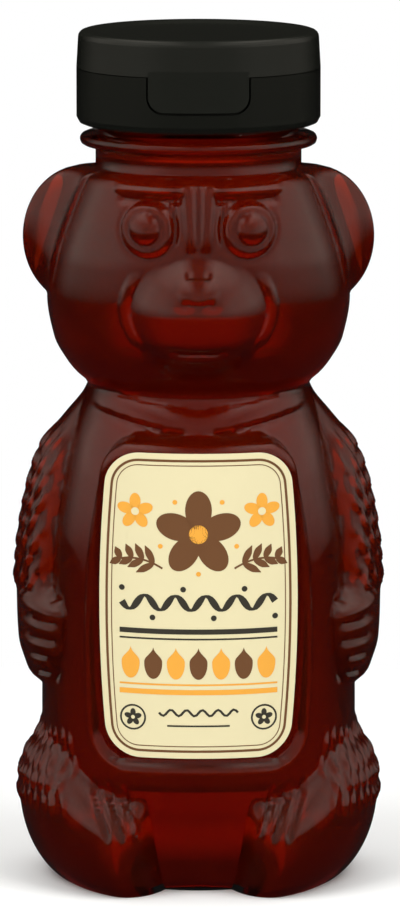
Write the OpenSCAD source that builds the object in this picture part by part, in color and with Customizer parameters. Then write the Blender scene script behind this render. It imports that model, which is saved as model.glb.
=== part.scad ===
// Bear-shaped squeeze bottle of honey with a flip-top screw closure.
// The bottle is one blown shell. Its outside is a radius around the neck's axis,
// r(angle, height): a torso and a head of rounded sections, with arms, legs, ears,
// snout, face and label panel raised on them. The angle is 0 at the front (-Y).

/* [Body] */
// Height from the standing face to the crease under the head
body_h = 87; // [80:0.5:95]
// Width of the torso between the arms
torso_w = 55; // [52:0.5:57]
// Distance from the neck's axis to the front of the belly
belly_front = 27.3; // [25.5:0.1:28.5]
// Distance from the neck's axis to the back
back_reach = 26; // [24:0.1:28]
// Radius of the crease under the head
crease_r = 19.2; // [17.5:0.1:20.5]
// Wall of the blown shell
wall = 0.8; // [0.5:0.1:1.2]
// Radius of the push-up under the base
push_r = 12.5; // [9:0.5:14]
// Height of the push-up under the base
push_h = 2.4; // [1:0.1:3.5]

/* [Arms] */
// Width over the two arms
arms_w = 64.4; // [62:0.1:67]
// Height of the fingertips
hand_z = 34.2; // [32:0.1:37]
// Length of a hand
hand_l = 16.8; // [14:0.1:19]
// Angle at which the inner edge of a hand lies
hand_a = 57.5; // [54:0.5:62]
// Angle at which the inner edge of a forearm lies
arm_a = 69.5; // [66:0.5:73]

/* [Legs] */
// Width over the two thighs
legs_w = 63.5; // [61:0.1:66]
// Distance from the neck's axis to the toes
toes_r = 31.4; // [30:0.1:32.5]
// Height of the widest part of a thigh
thigh_z = 15.6; // [13:0.1:18]
// Height of the top of a thigh
thigh_top = 29.6; // [27:0.1:32]
// Height of the top of a foot
foot_top = 19.2; // [17:0.1:21]
// Angle at which the inner side of a foot lies
foot_a = 19.5; // [17:0.5:22]

/* [Head] */
// Height from the crease to the crown, where the neck begins
head_h = 38; // [34:0.5:42]
// Width of the head over the cheeks
head_w = 52.8; // [50:0.1:55]
// Distance from the neck's axis to the face
face_front = 24.4; // [23:0.1:26]
// Distance from the neck's axis to the back of the head
head_back = 24.4; // [22:0.1:26]
// Width over the two ears
ears_w = 61.2; // [59:0.1:64]
// Height of the middle of an ear above the crease
ear_z = 25.8; // [23:0.1:27]
// Height of an ear
ear_h = 24; // [21:0.1:26]
// Distance from the neck's axis to the tip of the nose
snout_reach = 30.6; // [29:0.1:32]
// Width of the snout
snout_w = 24; // [21:0.1:26]
// Height of the snout
snout_h = 23.2; // [20:0.1:25]
// Height of the middle of the snout above the crease
snout_z = 14.6; // [13:0.1:16]
// Distance between the middles of the eyes
eyes_gap = 17.4; // [16:0.1:19]
// Height of the eyes above the crease
eye_z = 30.4; // [29:0.1:31.5]
// Radius of the raised disc round an eye
eye_r = 4.3; // [3.5:0.1:5]

/* [Label panel] */
// Distance from the neck's axis to the front of the panel
panel_front = 26.2; // [25:0.1:27]
// Radius to which the panel is bent
panel_bend = 33; // [30:0.5:40]
// Width of the panel at its middle
panel_w = 39.6; // [37:0.1:41]
// Height of the panel
panel_h = 58.6; // [54:0.1:60]
// Height of the panel's middle above the standing face
panel_z = 51.8; // [50:0.1:53]
// Corner radius of the panel
panel_corner = 6.5; // [4:0.1:9]
// Width of the sloping rim round the panel
panel_rim = 2.2; // [1.5:0.1:3]
// Margin between the panel's rim and the label
label_margin = 0.5; // [0.2:0.1:1.5]
// Thickness of the label
label_t = 0.12; // [0.08:0.01:0.3]
// How far the label's long sides bow out
label_bow = 1.5; // [0.5:0.1:2.5]

/* [Honey] */
// Height of the honey below the crown
honey_drop = 1.6; // [1.4:0.1:6]

/* [Neck finish] */
// Outer radius of the neck
neck_r = 17.4; // [17:0.05:17.8]
// Inner radius of the neck
bore_r = 15.4; // [14.5:0.1:15.8]
// Length of the neck from the crown to its rim
neck_h = 15.1; // [14:0.1:17]
// Outer radius of the bead under the closure
bead_r = 20.6; // [19.8:0.1:21]
// Thickness of the bead at its edge
bead_t = 1.8; // [1.2:0.1:2.4]
// Height of the bead's top below the rim
bead_drop = 9.3; // [9:0.1:10.4]
// Thickness of the foil seal bonded on the rim
foil_t = 0.3; // [0.15:0.05:0.5]

/* [Closure] */
// Outer radius of the closure
cap_r = 21.2; // [20.8:0.05:21.6]
// Gap between the bead and the bottom of the closure
cap_gap = 1.7; // [0.8:0.1:2]
// Radial space between the neck and the closure's skirt, for the thread
thread_space = 1.7; // [1.5:0.05:1.9]
// Thickness of the deck over the neck
deck_t = 1.2; // [1:0.1:1.8]
// Thickness of the liner ring under the deck
liner_t = 0.5; // [0.3:0.05:0.8]
// Clearance between pieces that turn on each other
turn_gap = 0.08; // [0.05:0.01:0.15]
// Radius of the hole in the spout
orifice_r = 3.4; // [2.5:0.1:4.5]
// Wall of the spout
spout_wall = 1.2; // [0.9:0.1:1.6]
// Height of the spout above the deck
spout_h = 2.6; // [1.8:0.1:3.2]
// Height of the lid
lid_h = 6.3; // [5.8:0.1:7.5]
// Gap between the lid and the closure's body
lid_gap = 0.15; // [0.1:0.05:0.3]
// Wall of the lid
lid_wall = 1.3; // [1:0.1:1.6]
// Thickness of the lid's top
lid_top = 1.2; // [0.9:0.1:1.6]
// Depth of the dish in the lid's top
dish_d = 0.5; // [0.2:0.1:0.8]
// Width of the rim round the dish
dish_rim = 3; // [2:0.1:5]
// Radius on the lid's top edge
lid_round = 1.1; // [0.5:0.1:1.6]
// Clearance round the plug that closes the spout
plug_gap = 0.3; // [0.2:0.05:0.4]
// Length of the plug inside the spout
plug_l = 1.8; // [1:0.1:2.2]
// Width of the thumb tab
tab_w = 17.3; // [14:0.1:20]
// Length of the thumb tab below the lid
tab_l = 6; // [4.5:0.1:6.8]
// Thickness of the thumb tab
tab_t = 0.75; // [0.6:0.05:0.9]
// Corner radius of the thumb tab
tab_corner = 2.6; // [1:0.1:3.2]
// Clearance round the thumb tab in its recess
tab_gap = 0.3; // [0.2:0.05:0.5]
// Width of the living hinge
hinge_w = 9; // [6:0.5:12]
// Thickness of the living hinge's web
hinge_t = 0.4; // [0.3:0.05:0.6]
// Height of the land by which the hinge is rooted on each side
hinge_land = 1.1; // [0.8:0.1:1.6]

/* [Hidden] */
amber = [0.42, 0.12, 0.05, 0.85];
eps = 0.01;
crease_z = body_h;
crown_z = crease_z + head_h;
rim_z = crown_z + neck_h;
fill_z = crown_z - honey_drop;
bead_top = rim_z - bead_drop;
cap_z = bead_top + cap_gap;
liner_z = rim_z + foil_t + turn_gap;
deck_z = liner_z + liner_t + turn_gap;
part_z = deck_z + deck_t;
lid_z = part_z + lid_gap;
skirt_r = neck_r + thread_space;
hinge_y = cap_r + hinge_t;
// The origin lies under the middle of the depth, so the neck's axis stands behind it
axis_y = (snout_reach - back_reach) / 2;
torso_a = torso_w / 2;

function clip(u) = min(max(u, 0), 1);
function ease(a, b, x) = let (u = clip((x - a) / (b - a))) u * u * (3 - 2 * u);
function dome(u) = sqrt(max(1 - pow(1 - clip(u), 2), 0));
function bulge(u) = sqrt(max(1 - u * u, 0));
function blend(a, b, k) = let (h = max(k - abs(a - b), 0) / k) max(a, b) + h * h * k / 4;
// A raised form with a soft root
function soft(h, k) = h * h / (h + k + 1e-6);
// A rounded section: half width a, front f, back b
function section(t, a, f, b, n) =
    pow(pow(sin(t) / a, n) + pow(abs(cos(t)) / (t < 90 ? f : b), n), -1 / n);

// A smooth curve through stations [height, values...], level where it turns
function rise(T, i, c) = (T[i + 1][c] - T[i][c]) / (T[i + 1][0] - T[i][0]);
function tangent(T, i, c) =
    i == 0 ? rise(T, 0, c) :
    i == len(T) - 1 ? rise(T, i - 1, c) :
    let (p = rise(T, i - 1, c), q = rise(T, i, c)) p * q <= 0 ? 0 : 2 * p * q / (p + q);
function span(T, z, i = 0) = i >= len(T) - 2 || z < T[i + 1][0] ? i : span(T, z, i + 1);
function curve(T, z, c) =
    let (i = span(T, z), h = T[i + 1][0] - T[i][0], u = clip((z - T[i][0]) / h))
    (1 + 2 * u) * (1 - u) * (1 - u) * T[i][c] + u * (1 - u) * (1 - u) * h * tangent(T, i, c)
    + u * u * (3 - 2 * u) * T[i + 1][c] + u * u * (u - 1) * h * tangent(T, i + 1, c);

// Torso: share of the body's height, then half width, front and back
TORSO = [for (s = [
    [0, 0.84, 0.60, 0.79], [0.017, 0.90, 0.66, 0.87], [0.058, 0.953, 0.74, 0.935],
    [0.138, 0.985, 0.857, 0.98], [0.241, 0.996, 0.985, 1], [0.345, 1, 1, 1],
    [0.517, 0.989, 0.989, 1], [0.69, 0.953, 0.96, 0.98], [0.828, 0.88, 0.894, 0.93],
    [0.908, 0.815, 0.828, 0.866], [0.966, 0.745, 0.751, 0.79]])
    [s[0] * body_h, s[1] * torso_a, s[2] * belly_front, s[3] * back_reach],
    [body_h, crease_r, crease_r - 0.2, crease_r], [body_h + 9, 12, 12, 12]];

// Head: share of the head's height, then half width, front and back
HEAD = [[crease_z - 7, 12, 12, 12], [crease_z, crease_r, crease_r, crease_r],
    for (s = [
    [0.03, 0.755, 0.81, 0.81], [0.058, 0.803, 0.855, 0.845], [0.115, 0.871, 0.91, 0.9],
    [0.224, 0.955, 0.975, 0.97], [0.408, 1, 1, 1], [0.58, 0.97, 0.99, 0.985],
    [0.724, 0.909, 0.967, 0.95], [0.842, 0.848, 0.926, 0.9], [0.921, 0.803, 0.885, 0.855],
    [0.974, 0.765, 0.844, 0.82], [1, 0.66, 0.71, 0.7]])
    [crease_z + s[0] * head_h, s[1] * head_w / 2, s[2] * face_front, s[3] * head_back]];

// Arm: height, outer radius, angle of its front edge, angle of its back edge
hand_top = hand_z + hand_l;
arm_l = body_h - hand_z;
ARM = [for (s = [
    [0, 0.857, hand_a + 16, 98], [0.034, 0.929, hand_a + 8, 101], [0.074, 0.957, hand_a + 3, 104],
    [0.155, 0.994, hand_a, 106], [(hand_l - 3) / arm_l, 1.002, hand_a, 108],
    [(hand_l + 2) / arm_l, 1.003, arm_a, 109], [0.457, 0.991, arm_a + 0.5, 110],
    [0.616, 0.95, arm_a + 1, 111], [0.737, 0.898, arm_a + 2, 112], [0.816, 0.839, arm_a + 3.5, 112],
    [0.898, 0.733, arm_a + 7.5, 112], [0.98, 0.621, arm_a + 10.5, 112], [1.05, 0.56, arm_a + 10.5, 112]])
    [hand_z + s[0] * arm_l, s[1] * arms_w / 2, s[2], s[3]]];

// All that depends on the height alone
function level(z) = [z, curve(TORSO, z, 1), curve(TORSO, z, 2), curve(TORSO, z, 3),
    curve(HEAD, z, 1), curve(HEAD, z, 2), curve(HEAD, z, 3),
    curve(ARM, z, 1), curve(ARM, z, 2), curve(ARM, z, 3)];

function arm(t, P, T) =
    let (u = (t - P[8]) / (P[9] - P[8]))
    u <= 0 || u >= 1 || P[0] < hand_z ? 0 :
    soft(max(P[7] - T, 0) * sqrt(1 - pow(abs(2 * u - 1), 2.8)) * dome((P[0] - hand_z) / 3), 0.4);

// Leg: a thick roll from the hip to the foot, lower at the front
leg_t = 12;
function leg(t, P, T) =
    let (w = ease(24, 66, t),
        zc = foot_top / 2 + (thigh_z - foot_top / 2) * w,
        up = (foot_top - zc) + (thigh_top - foot_top) * w,
        down = 12.7 + 4.7 * w,
        R = toes_r + (legs_w / 2 + 0.05 - toes_r) * w,
        q = (P[0] - zc) / (P[0] > zc ? up : down))
    abs(q) >= 1 ? 0 :
    soft(max(R - leg_t + leg_t * bulge(q) - T, 0)
        * dome((t - foot_a) / 13) * dome((150 - t) / 60), 0.3);

// Label panel: upright, sunk in the belly and standing out of the chest
function panel_at(t) =
    let (c = panel_front - panel_bend)
    c * cos(t) + sqrt(pow(panel_bend, 2) - pow(c * sin(t), 2));
function inside_panel(x, z) =
    let (hh = panel_h / 2, hw = panel_w / 2 - label_bow * pow((z - panel_z) / hh, 2),
        qx = abs(x) - (hw - panel_corner), qz = abs(z - panel_z) - (hh - panel_corner))
    panel_corner - min(max(qx, qz), 0) - norm([max(qx, 0), max(qz, 0)]);
function with_panel(t, P, r) =
    t > 80 || abs(P[0] - panel_z) > panel_h / 2 ? r :
    let (p = panel_at(t), m = ease(0, panel_rim, inside_panel(p * sin(t), P[0])))
    r + (p - r) * m;

// Ear: a cup on the side of the head, open to the front
ear_c = crease_z + ear_z;
function ear(t, P, H) =
    let (q = (P[0] - ear_c) / (ear_h / 2), edge = 67.5 + 0.35 * (crown_z - 1 - P[0]),
        u = (t - edge) / (89.5 - edge))
    abs(q) >= 1 || t <= edge || t > 112.5 ? 0 :
    max(ears_w / 2 - 10 + 10 * bulge(q) - H, 0) * (
        t >= 89.5 ? bulge(clip((t - 92.5) / 20)) :
        (u < 0.24 ? 0.22 * sin(180 * u / 0.24) : 0) + (u > 0.2 ? pow((u - 0.2) / 0.8, 2) : 0));

// Snout: where a line from the axis leaves an ellipsoid
snout_c = crease_z + snout_z;
snout_d = 12.8;
function snout(t, z) =
    let (a = snout_w / 2, cy = snout_reach - 0.6 - snout_d, q = 1 - pow((z - snout_c) / (snout_h / 2), 2),
        A = pow(sin(t) / a, 2) + pow(cos(t) / snout_d, 2), B = cos(t) * cy / pow(snout_d, 2),
        D = B * B - A * (pow(cy / snout_d, 2) - q))
    D <= 0 || q <= 0 || t > 90 ? 0 : (B + sqrt(D)) / A;

// Face: eyes, brows, the bridge of the nose, the nose and the folds of the cheeks
function button(x, z, r, h) = h * pow(max(1 - (x * x + z * z) / (r * r), 0), 0.5);
function face(x, z) =
    let (e = eyes_gap / 2, ze = crease_z + eye_z, fold = snout_w / 2 + 1.2
        - 2.2 * pow((z - snout_c - 3.4) / 6, 2))
    button(x - e, z - ze, eye_r, 0.9) + button(x - e - 0.1, z - ze - 0.1, 0.58 * eye_r, 1)
    + bulge((z - crown_z + 1.4) / 1) * ease(15, 13.4, x)
    + bulge((x - 1.4) / 1.2) * ease(crown_z - 12, crown_z - 9.5, z) * ease(crown_z, crown_z - 1.4, z)
    + button(x / 1.7, z - snout_c - 5.4, 2.3, 0.6)
    + 0.6 * bulge((x - fold) / 1) * ease(snout_c - 3.6, snout_c - 1.6, z)
        * ease(snout_c + 9.9, snout_c + 8.4, z)
    - 0.5 * bulge((z - snout_c + 5) / 0.7) * ease(5.2, 4.2, x);

// The radius of the outside; plain leaves out the face
function radius(s, P, plain = false) =
    let (t = abs(s), z = P[0])
    max(neck_r,
        z < crease_z - 7 ? body(t, P) :
        z > crease_z + 8 ? top(t, P, plain) : max(body(t, P), top(t, P, plain)));
function body(t, P) =
    let (T = section(t, P[1], P[2], P[3], 2.2))
    with_panel(t, P, T + max(arm(t, P, T), leg(t, P, T)));
function top(t, P, plain) =
    let (H = section(t, P[4], P[5], P[6], 2.15), r = blend(H + ear(t, P, H), snout(t, P[0]), 1.6))
    plain || t > 60 ? r : r + face(r * sin(t), P[0]);

function steps(a, b, n) = [for (i = [0:n - 1]) a + (b - a) * i / n];

// Directions and heights of the outside, closer together on the face
ANGLES = [each steps(-180, -112, 8), each steps(-112, -48, 13), each steps(-48, 48, 32),
    each steps(48, 112, 13), each steps(112, 180, 8)];
HEIGHTS = [0, 0.3 * wall, 1.5, each steps(3.5, hand_z - 1, 10), each steps(hand_z, hand_top, 6),
    each steps(hand_top, crease_z, 8), crease_z, crease_z + 1, crease_z + 2.1,
    each steps(crease_z + 3.6, crown_z - 0.9, 23), crown_z - 0.9, crown_z - 0.3, crown_z];

// A closed skin through rings of points, one ring for each height
function ring(zs, ts, R) =
    [for (i = [0:len(zs) - 1]) for (j = [0:len(ts) - 1]) [R[i][j] * sin(ts[j]), -R[i][j] * cos(ts[j]), zs[i]]];
function strips(m, n) = [for (i = [0:m - 2]) for (j = [0:n - 1])
    let (a = i * n + j, b = i * n + (j + 1) % n, c = a + n, d = b + n)
    each [[a, c, d], [a, d, b]]];
module skin(zs, ts, R) {
    m = len(zs);
    n = len(ts);
    polyhedron([each ring(zs, ts, R), [0, 0, zs[0]], [0, 0, zs[m - 1]]],
        [for (j = [0:n - 1]) [m * n, j, (j + 1) % n], each strips(m, n),
        for (j = [0:n - 1]) [m * n + 1, (m - 1) * n + (j + 1) % n, (m - 1) * n + j]], convexity = 10);
}

// The inside keeps at least the wall from the outside, also where the outside is steep
IN_ANGLES = [each steps(-180, -110, 5), each steps(-110, -50, 9), each steps(-50, 50, 12),
    each steps(50, 110, 9), each steps(110, 180, 5)];
IN_HEIGHTS = [wall + 0.4, wall + 2, each steps(6, hand_z - 3, 6), hand_z - 3, hand_z + 1,
    each steps(hand_z + 6, crease_z - 3, 7), crease_z - 2.5, crease_z, crease_z + 2.5,
    each steps(crease_z + 5, crown_z - 6, 6), crown_z - 6, crown_z - 3.2, fill_z];
function hollow(s, Q, Ps) = max(bore_r + 0.3, min([for (P = Ps) for (d = [-3, 0, 3])
    radius(s + d, P, true)]) - wall);
function hollows(zs) = [for (z = zs)
    let (Ps = [for (d = [-1.1, 0, 1.1]) level(max(z + d * (z < 3 ? 0.5 : 1), 0))])
    [for (s = IN_ANGLES) hollow(s, 0, Ps)]];

module push_up(grow) {
    // A shallow dome under the base
    rotate_extrude()
        polygon([[0, -1], [push_r + grow, -1], [push_r + grow, 0],
            for (a = [10:10:90]) [(push_r + grow) * (1 - pow(sin(a), 2) * 0.999), (push_h + grow) * sin(a)],
            [0, push_h + grow]]);
}

module inside() {
    R = hollows(IN_HEIGHTS);
    skin(IN_HEIGHTS, IN_ANGLES, R);
}

module finish() {
    // The neck with the bead that the closure comes down to
    rotate_extrude($fn = 96)
        polygon([[bore_r - 1, crown_z - 1], [neck_r, crown_z - 1], [neck_r + 0.5, crown_z + 0.2],
            [neck_r + 0.5, bead_top - bead_t - 0.8], [neck_r + 1, bead_top - bead_t - 0.3],
            [bead_r - 0.5, bead_top - bead_t], [bead_r, bead_top - bead_t + 0.4],
            [bead_r, bead_top - 0.5], [bead_r - 0.5, bead_top], [neck_r, bead_top],
            [neck_r, rim_z - 0.4], [neck_r - 0.4, rim_z], [bore_r - 1, rim_z]]);
}

module bottle() {
    color(amber)
    translate([0, axis_y, 0])
    difference() {
        union() {
            skin(HEIGHTS, ANGLES, [for (z = HEIGHTS) let (P = level(z)) [for (s = ANGLES) radius(s, P)]]);
            finish();
        }
        difference() {
            inside();
            push_up(wall);
        }
        translate([0, 0, fill_z - 0.5])
            cylinder(h = rim_z, r = bore_r, $fn = 96);
        push_up(0);
    }
}

module honey() {
    color([0.36, 0.08, 0.02])
    translate([0, axis_y, 0])
    difference() {
        inside();
        push_up(wall);
    }
}

module foil_seal() {
    color("silver")
    translate([0, axis_y, rim_z])
    cylinder(h = foil_t, r = neck_r - 0.2, $fn = 96);
}

module label_shape() {
    w = panel_w - 2 * (panel_rim + label_margin);
    h = panel_h - 2 * (panel_rim + label_margin);
    bow = (h * h / 4 + label_bow * label_bow) / (2 * label_bow);
    r = panel_corner - panel_rim + 1.2;
    offset(r = r, $fn = 32)
        offset(delta = -r)
        intersection() {
            square([w, h], center = true);
            translate([w / 2 - bow, 0])
                circle(r = bow, $fn = 240);
            translate([bow - w / 2, 0])
                circle(r = bow, $fn = 240);
        }
}

module front_label() {
    color([0.94, 0.89, 0.72])
    translate([0, axis_y + panel_bend - panel_front, panel_z])
    intersection() {
        difference() {
            cylinder(h = panel_h, r = panel_bend + 0.04 + label_t, center = true, $fn = 240);
            cylinder(h = panel_h + 1, r = panel_bend + 0.04, center = true, $fn = 240);
        }
        rotate([90, 0, 0])
            linear_extrude(height = 2 * panel_bend)
            label_shape();
    }
}

module closure_liner() {
    color("white")
    translate([0, axis_y, liner_z])
    difference() {
        cylinder(h = liner_t, r = skirt_r - 0.4, $fn = 96);
        translate([0, 0, -1])
            cylinder(h = liner_t + 2, r = orifice_r + spout_wall, $fn = 64);
    }
}

// The tab's outline on the closure's wall, from its root down
module tab_shape(w, l, r) {
    hull() {
        translate([-w / 2, -r - 0.2])
            square([w, r + 0.2]);
        for (s = [-1, 1])
            translate([s * (w / 2 - r), r - l])
            circle(r = r, $fn = 32);
    }
}

module wall_patch(r0, r1, w, l, r, up) {
    intersection() {
        difference() {
            translate([0, 0, -l - 1])
                cylinder(h = l + up + 2, r = r1, $fn = 96);
            translate([0, 0, -l - 2])
                cylinder(h = l + up + 4, r = r0, $fn = 96);
        }
        rotate([90, 0, 0])
            linear_extrude(height = r1 + 1)
            union() {
                tab_shape(w, l, r);
                translate([-w / 2, -0.1])
                    square([w, up + 0.1]);
            }
    }
}

module closure_body() {
    tab_r = cap_r - tab_t;
    color([0.19, 0.2, 0.18])
    translate([0, axis_y, 0])
    difference() {
        rotate_extrude($fn = 96)
            polygon([[orifice_r, deck_z], [skirt_r, deck_z], [skirt_r, cap_z], [cap_r - 1.4, cap_z],
                [cap_r - 0.5, cap_z + 0.35], [cap_r, cap_z + 1.3], [cap_r, part_z],
                [orifice_r + spout_wall + 0.6, part_z], [orifice_r + spout_wall, part_z + 0.6],
                [orifice_r + spout_wall, part_z + spout_h - 0.3],
                [orifice_r + spout_wall - 0.3, part_z + spout_h],
                [orifice_r + 0.3, part_z + spout_h], [orifice_r, part_z + spout_h - 0.3]]);
        translate([0, 0, part_z])
            wall_patch(tab_r - tab_gap, cap_r + 1, tab_w + 2 * tab_gap, tab_l + tab_gap,
                tab_corner + tab_gap, 1);
    }
}

module lid() {
    top_z = lid_z + lid_h;
    color([0.21, 0.22, 0.2])
    translate([0, axis_y, 0])
    union() {
        rotate_extrude($fn = 96)
            polygon([[cap_r - lid_wall, lid_z], [cap_r, lid_z], [cap_r - 0.3, top_z - lid_round],
                for (a = [20:20:80]) [cap_r - 0.3 - lid_round * (1 - cos(a)), top_z - lid_round * (1 - sin(a))],
                [cap_r - 0.5 - lid_round, top_z],
                [cap_r - dish_rim, top_z - 0.1], [cap_r - dish_rim - 1.2, top_z - dish_d], [0, top_z - dish_d],
                [0, top_z - dish_d - lid_top], [cap_r - lid_wall - 1, top_z - dish_d - lid_top],
                [cap_r - lid_wall, top_z - dish_d - lid_top - 1]]);
        // The plug that closes the spout
        rotate_extrude($fn = 64)
            polygon([[orifice_r - plug_gap - 1, part_z + spout_h - plug_l],
                [orifice_r - plug_gap - 0.4, part_z + spout_h - plug_l],
                [orifice_r - plug_gap, part_z + spout_h - plug_l + 0.4],
                [orifice_r - plug_gap, top_z - dish_d - lid_top + eps],
                [orifice_r - plug_gap - 1, top_z - dish_d - lid_top + eps]]);
        translate([0, 0, lid_z])
            wall_patch(cap_r - tab_t, cap_r, tab_w, tab_l, tab_corner, 1);
    }
}

module living_hinge() {
    // A thin web across the gap at the back, rooted on both pieces
    color([0.2, 0.21, 0.19])
    translate([0, axis_y, part_z - hinge_land])
    intersection() {
        difference() {
            cylinder(h = 2 * hinge_land + lid_gap, r = cap_r + hinge_t, $fn = 96);
            translate([0, 0, -1])
                cylinder(h = 2 * hinge_land + lid_gap + 2, r = cap_r, $fn = 96);
        }
        translate([-hinge_w / 2, 0, 0])
            cube([hinge_w, cap_r + 2, 2 * hinge_land + lid_gap]);
    }
}

bottle();
honey();
foil_seal();
front_label();
closure_liner();
closure_body();
lid();
living_hinge();
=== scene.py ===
"""A bear-shaped squeeze bottle of honey, dressed on its CAD frame.

The bottle is one blown skin: a radius for each direction and height, in millimetres, round the
axis of the neck. The angle is 0 at the front (-Y) and grows towards the bear's left hand (+X).
"""

import math

import bmesh
import bpy
import numpy as np
from bpy.props import FloatProperty, FloatVectorProperty, PointerProperty
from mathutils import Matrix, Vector


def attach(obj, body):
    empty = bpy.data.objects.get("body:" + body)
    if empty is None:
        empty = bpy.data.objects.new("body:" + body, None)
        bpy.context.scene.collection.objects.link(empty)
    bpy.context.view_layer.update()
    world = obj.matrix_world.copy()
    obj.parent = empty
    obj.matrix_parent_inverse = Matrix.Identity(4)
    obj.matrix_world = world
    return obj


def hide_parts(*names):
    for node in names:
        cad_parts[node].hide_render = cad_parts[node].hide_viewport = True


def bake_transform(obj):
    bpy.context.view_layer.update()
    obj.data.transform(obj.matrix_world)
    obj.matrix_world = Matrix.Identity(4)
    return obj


bl_info = {
    "name": "Honey Bear Bottle",
    "version": (1, 0, 0),
    "blender": (4, 5, 0),
    "location": "View3D > Sidebar > Honey Bear",
    "description": "Builds the skin, honey, label, closure details and stage of a honey bottle",
    "category": "Object",
}

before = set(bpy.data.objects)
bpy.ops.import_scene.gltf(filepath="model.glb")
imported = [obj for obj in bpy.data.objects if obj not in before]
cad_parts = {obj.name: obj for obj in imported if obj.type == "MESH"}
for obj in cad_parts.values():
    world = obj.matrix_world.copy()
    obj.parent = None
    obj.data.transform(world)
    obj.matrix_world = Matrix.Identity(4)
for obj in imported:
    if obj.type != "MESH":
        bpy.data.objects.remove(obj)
MM = 0.001

# The CAD's own sizes, in millimetres
AXIS_Y = 2.3
BODY_H, TORSO_W, BELLY, BACK, CREASE_R = 87.0, 55.0, 27.3, 26.0, 19.2
HEAD_H, HEAD_W, FACE, NAPE = 38.0, 52.8, 24.4, 24.4
CREASE, CROWN, FILL = BODY_H, BODY_H + HEAD_H, BODY_H + HEAD_H - 1.6
WALL, PUSH_R, PUSH_H = 0.8, 12.5, 2.4
ARMS_W, HAND_Z, HAND_L, HAND_A, ARM_A = 64.4, 34.2, 16.8, 57.5, 69.5
LEGS_W, TOES_R, THIGH_Z, THIGH_TOP, FOOT_TOP, FOOT_A, LEG_T = 63.5, 31.4, 15.6, 29.6, 19.2, 19.5, 12.0
EARS_W, EAR_C, EAR_H = 61.2, CREASE + 25.8, 24.0
SNOUT_REACH, SNOUT_W, SNOUT_H, SNOUT_C, SNOUT_D = 30.6, 24.0, 23.2, CREASE + 14.6, 12.8
EYE_X, EYE_Z, EYE_R = 8.7, CREASE + 30.4, 4.3
PANEL_FRONT, PANEL_BEND, PANEL_W, PANEL_H, PANEL_Z = 26.2, 33.0, 39.6, 58.6, 51.8
PANEL_CORNER, PANEL_RIM, LABEL_T, LABEL_BOW = 6.5, 2.2, 0.12, 1.5
LABEL_W, LABEL_H, LABEL_CORNER = 34.2, 53.2, 5.5
NECK_R, BORE_R, RIM_Z, BEAD_R, BEAD_TOP, BEAD_T = 17.4, 15.4, 140.1, 20.6, 130.8, 1.8
CAP_R, CAP_Z, SKIRT_R, PART_Z, LID_Z, PITCH = 21.2, 132.5, 19.1, 142.26, 142.41, 4.2331
HINGE_W, HINGE_T, HINGE_LAND = 9.0, 0.4, 1.1


# ---------------------------------------------------------------- values

def linear(text):
    """The linear colour of an sRGB hex value, by the sRGB curve."""
    c = np.array([int(text[i : i + 2], 16) for i in (1, 3, 5)]) / 255.0
    return tuple(float(v) for v in np.where(c <= 0.04045, c / 12.92, ((c + 0.055) / 1.055) ** 2.4))


def length(name, text, value, low, high):
    return FloatProperty(name=name, description=text, default=value * MM, min=low * MM, max=high * MM,
                         subtype="DISTANCE", unit="LENGTH", precision=5)


def colour(name, text, value):
    return FloatVectorProperty(name=name, description=text, subtype="COLOR", size=3, min=0, max=1,
                               default=linear(value))


class HoneyBearSizes(bpy.types.PropertyGroup):
    fur: length("Fur", "Height of the short fur strokes on the arms and thighs", 0.7, 0, 0.8)
    fingers: length("Fingers", "Depth of the grooves between the fingers", 0.9, 0, 1.2)
    toes: length("Toes", "Depth of the grooves between the toes", 0.8, 0, 1.2)
    collar: length("Collar", "Height of the roll under the chin", 0.5, 0, 1)
    rim: length("Panel rim", "Height of the bead round the label's panel", 0.4, 0, 0.6)
    creases: length("Creases", "Depth of the mouth's crease", 0.8, 0, 1.2)
    thread: length("Thread", "Height of the neck's thread", 1.25, 0.5, 1.25)
    ink: length("Ink", "Height at which the print lies on the label", 0.03, 0.01, 0.06)
    softbox: length("Softbox", "Width of each softbox in front", 420, 200, 800)


class HoneyBearColours(bpy.types.PropertyGroup):
    pet: colour("PET", "Tint of the blown PET", "#fffaf5")
    honey: colour("Honey", "Light that thin honey lets through", "#e8cc00")
    cloud: colour("Cloud", "Light that the pollen in the honey scatters", "#f4480e")
    closure: colour("Closure", "Polypropylene of the closure's body", "#10110d")
    lid: colour("Lid", "Polypropylene of the lid", "#161713")
    label: colour("Label", "Cream ground of the label", "#dcd1a7")
    brown: colour("Brown ink", "Brown of the print", "#6b4526")
    dark: colour("Dark ink", "Near-black of the print", "#37332a")
    orange: colour("Orange ink", "Orange of the print", "#e7a239")
    foil: colour("Foil", "Aluminium of the seal", "#d9dadb")
    liner: colour("Liner", "Foam of the liner", "#f2f1ec")
    floor: colour("Floor", "Pale floor", "#f4f4f2")


# ---------------------------------------------------------------- the bear's surface

def clip(u):
    return np.clip(u, 0.0, 1.0)


def ease(a, b, x):
    """0 at a and 1 at b, with level ends: 3u^2 - 2u^3."""
    u = clip((x - a) / (b - a))
    return u * u * (3 - 2 * u)


def dome(u):
    """A quarter circle: sqrt(1 - (1 - u)^2)."""
    return np.sqrt(np.maximum(1 - (1 - clip(u)) ** 2, 0))


def bulge(u):
    """A half circle over -1 to 1: sqrt(1 - u^2)."""
    return np.sqrt(np.maximum(1 - u * u, 0))


def bell(u):
    """A bell curve: exp(-u^2)."""
    return np.exp(-u * u)


def joined_max(a, b, k):
    """The larger of two values with a soft valley k wide between them."""
    h = np.maximum(k - np.abs(a - b), 0) / k
    return np.maximum(a, b) + h * h * k / 4


def soft(h, k):
    """A height with a soft root: h^2 / (h + k)."""
    return h * h / (h + k + 1e-6)


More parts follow.
